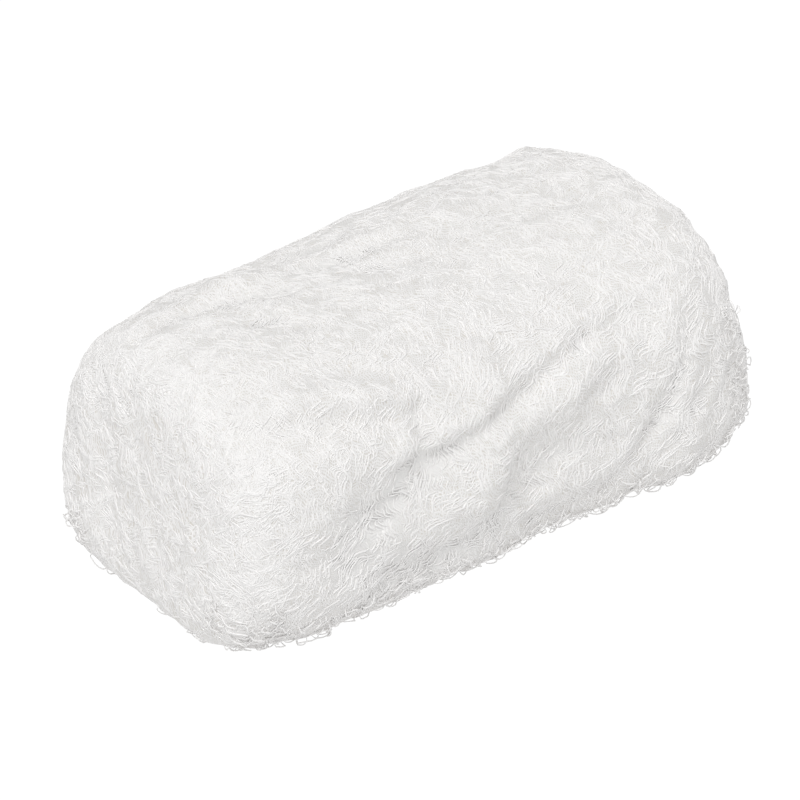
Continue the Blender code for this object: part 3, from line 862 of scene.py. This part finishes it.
def end_place(side):
    """The function from (across, up) on an end face, in mm from its centre, to (run, girth).
    The place is divided by the outline in its direction, which gives its reach, and the
    angle of the superellipse that runs through it. The run is RUN_END less the reach times
    the roll's mean half thickness, so past the rim a place goes on along the side."""

    def place(across, up):
        """(run, girth) of places on this end face, or past its rim."""
        across = (across - TOP_LEAN * up) / (ROLL_WIDTH / 2)
        up = up / (ROLL_HEIGHT / 2)
        shoulder = np.where(across < 0.0, FRONT_ROUNDNESS, BACK_ROUNDNESS)
        power = np.where(up > 0.0, shoulder, BASE_ROUNDNESS)
        reach = (np.abs(across) ** power + np.abs(up) ** power) ** (1.0 / power)
        share = 1.0 / np.maximum(reach, 1e-6)
        turn = np.arctan2(
            signed_power(up * share, power / 2), -signed_power(across * share, power / 2)
        )
        girth = np.interp(turn % (2 * np.pi), ANGLE, GIRTH)
        return side * (RUN_END - reach * (ROLL_WIDTH + ROLL_HEIGHT) / 4), girth

    return place


END_REACH = 32.0  # skin length from an end's centre that its yarns cover
FACE_ACROSS = 36.0  # mm each way from an end's centre to the edge of the grid of its yarns
FACE_UP = 29.0
NEAR_END = Sheaves(
    "near_end_yarns", 50, end_place(-1.0), 3, 0.42, (0.8, 1.6), 0.19, 0.5, 2.4, 1.9, (-0.05, 0.07)
)
FAR_END = NEAR_END._replace(name="far_end_yarns", seed=60, place=end_place(1.0), lean=-0.5)


def end_yarns(form, pitch, row, inner=0.0, highest=FACE_UP):
    """Yarns over one end face, from inner mm off its centre to its rim, up to highest mm
    over its middle, with a sheaf in each cell of pitch by row mm."""
    spread_rng = np.random.default_rng(form.seed + 1)
    across, up = scattered(spread_rng, -FACE_ACROSS, FACE_ACROSS, -FACE_UP, highest, pitch, row)
    run, _ = form.place(across, up)
    off_centre = RUN_END - np.abs(run)
    kept = (off_centre > inner) & (off_centre < END_REACH)
    place_piece(sheaf_mesh(form, across[kept], up[kept]), GAUZE_YARN)


end_yarns(NEAR_END, pitch=1.65, row=1.8)
end_yarns(FAR_END, pitch=2.05, row=2.2)

# ================================================================ stray loops
# Where the crinkled yarn has more length than the cloth needs, single lengths stand off it as
# small loops and curls of the same cotton. They fringe the outline, most of all at the foot.
SIDE_LOOPS = FRONT._replace(
    name="side_loops",
    seed=70,
    yarns=1,
    half=(0.9, 2.1),
    width=0.2,
    spread=3.0,
    curl=1.2,
    peak=(0.0, 0.15),
)
LOW_RIM = 25.0  # skin length from an end's centre to where its loops begin
FRONT_FOOT_LOOPS = SIDE_LOOPS._replace(name="front_foot_loops", seed=80, peak=(0.2, 1.2))
BACK_FOOT_LOOPS = FRONT_FOOT_LOOPS._replace(name="back_foot_loops", seed=90)
NEAR_END_LOOPS = FRONT_FOOT_LOOPS._replace(name="near_end_loops", seed=100, place=end_place(-1.0))
FAR_END_LOOPS = NEAR_END_LOOPS._replace(name="far_end_loops", seed=110, place=end_place(1.0))
side_yarns(SIDE_LOOPS, low=-36, high=226, pitch=4.6, row=5.4)
side_yarns(FRONT_FOOT_LOOPS, low=-46, high=-28, pitch=2.0, row=2.2)
side_yarns(BACK_FOOT_LOOPS, low=208, high=226, pitch=1.7, row=2.0)
end_yarns(NEAR_END_LOOPS, pitch=2.2, row=2.4, inner=LOW_RIM, highest=-8.0)
end_yarns(FAR_END_LOOPS, pitch=2.4, row=2.6, inner=LOW_RIM, highest=10.0)

# ================================================================ floor, light and camera
# A plain pale floor, a broad soft light from the front left, and the photograph's camera. The
# floor is a white lit sheet. It gives the roll less light than the camera sees in it, so that
# the picture's ground is white while the roll's lower side stays grey.
WHITE = (1.0, 1.0, 1.0, 1.0)
FLOOR_HALF = 3.0  # m
FLOOR_GREY = (0.3, 0.3, 0.3, 1.0)
FLOOR_LIGHT = 0.61  # what the sheet gives off towards the roll
GLOW = 1.12  # what the camera sees in it
GLOW_SHARE = 0.75  # and how much of the camera's view that makes up
corners = np.array([(-1, -1, 0), (1, -1, 0), (1, 1, 0), (-1, 1, 0)]) * FLOOR_HALF
floor_mesh = bpy.data.meshes.new("floor")
floor_mesh.from_pydata(corners.tolist(), [], [(0, 1, 2, 3)])
floor_material = bpy.data.materials.new("pale_floor")
floor_material.use_nodes = True
floor_tree = floor_material.node_tree
floor_shader = floor_tree.nodes["Principled BSDF"]
floor_shader.inputs["Base Color"].default_value = FLOOR_GREY
floor_shader.inputs["Emission Color"].default_value = WHITE
floor_shader.inputs["Emission Strength"].default_value = FLOOR_LIGHT
floor_shader.inputs["Roughness"].default_value = 1.0
floor_shader.inputs["Specular IOR Level"].default_value = 0.0


def seen_as(tree, lit, glowing, share):
    """The shader lit, with a share of the shader glowing in it for the camera's own rays."""
    path = node(tree, "ShaderNodeLightPath")
    camera_share = reckoned(tree, "MULTIPLY", path.outputs["Is Camera Ray"], share)
    links = [(0, camera_share), (1, lit.outputs[0]), (2, glowing.outputs[0])]
    return node(tree, "ShaderNodeMixShader", links).outputs[0]


glow = node(floor_tree, "ShaderNodeEmission", Strength=GLOW)
lit_sheet = seen_as(floor_tree, floor_shader, glow, GLOW_SHARE)
floor_tree.links.new(lit_sheet, floor_tree.nodes["Material Output"].inputs["Surface"])
floor_mesh.materials.append(floor_material)
floor = bpy.data.objects.new("floor", floor_mesh)
bpy.context.scene.collection.objects.link(floor)

ROOM_LIGHT = 0.54  # from all sides, where the camera itself sees plain white
world = bpy.data.worlds.new("studio")
world.use_nodes = True
world_tree = world.node_tree
soft_sky = world_tree.nodes["Background"]
soft_sky.inputs["Color"].default_value = WHITE
soft_sky.inputs["Strength"].default_value = ROOM_LIGHT
backdrop = node(world_tree, "ShaderNodeBackground", Color=WHITE, Strength=1.0)
sky = seen_as(world_tree, soft_sky, backdrop, 1.0)
world_tree.links.new(sky, world_tree.nodes["World Output"].inputs["Surface"])
bpy.context.scene.world = world

LIGHT_FROM = (-0.36, -0.32, 0.87)
LIGHT_STRENGTH = 1.53
LIGHT_BREADTH = 0.7  # radians across, so that its shadows are soft
light = bpy.data.lights.new("soft_light", "SUN")
light.energy = LIGHT_STRENGTH
light.angle = LIGHT_BREADTH
lamp = bpy.data.objects.new("soft_light", light)
bpy.context.scene.collection.objects.link(lamp)
direction = np.array(LIGHT_FROM) / np.linalg.norm(LIGHT_FROM)
lamp.rotation_euler = (math.acos(direction[2]), 0.0, math.atan2(direction[0], -direction[1]))

AZIMUTH = math.radians(-38.6)
ELEVATION = math.radians(33.7)
DISTANCE = 1.3631  # m
TARGET = (0.0, 0.0, 0.025)
SHIFT = (-0.00101, -0.00295)  # of the target, to the right and up in the picture, in m
LENS = 355.25  # mm, long, as for a small thing seen from well back
SENSOR = 36.0
right = np.array([math.cos(AZIMUTH), math.sin(AZIMUTH), 0.0])
back = np.array(
    [
        math.sin(AZIMUTH) * math.cos(ELEVATION),
        -math.cos(AZIMUTH) * math.cos(ELEVATION),
        math.sin(ELEVATION),
    ]
)
above = np.cross(back, right)
camera_data = bpy.data.cameras.new("camera")
camera_data.lens = LENS
camera_data.sensor_width = SENSOR
camera = bpy.data.objects.new("camera", camera_data)
bpy.context.scene.collection.objects.link(camera)
camera.location = np.array(TARGET) + back * DISTANCE + right * SHIFT[0] + above * SHIFT[1]
camera.rotation_euler = (math.pi / 2 - ELEVATION, 0.0, AZIMUTH)
bpy.context.scene.camera = camera
bpy.context.scene.view_settings.view_transform = "Standard"
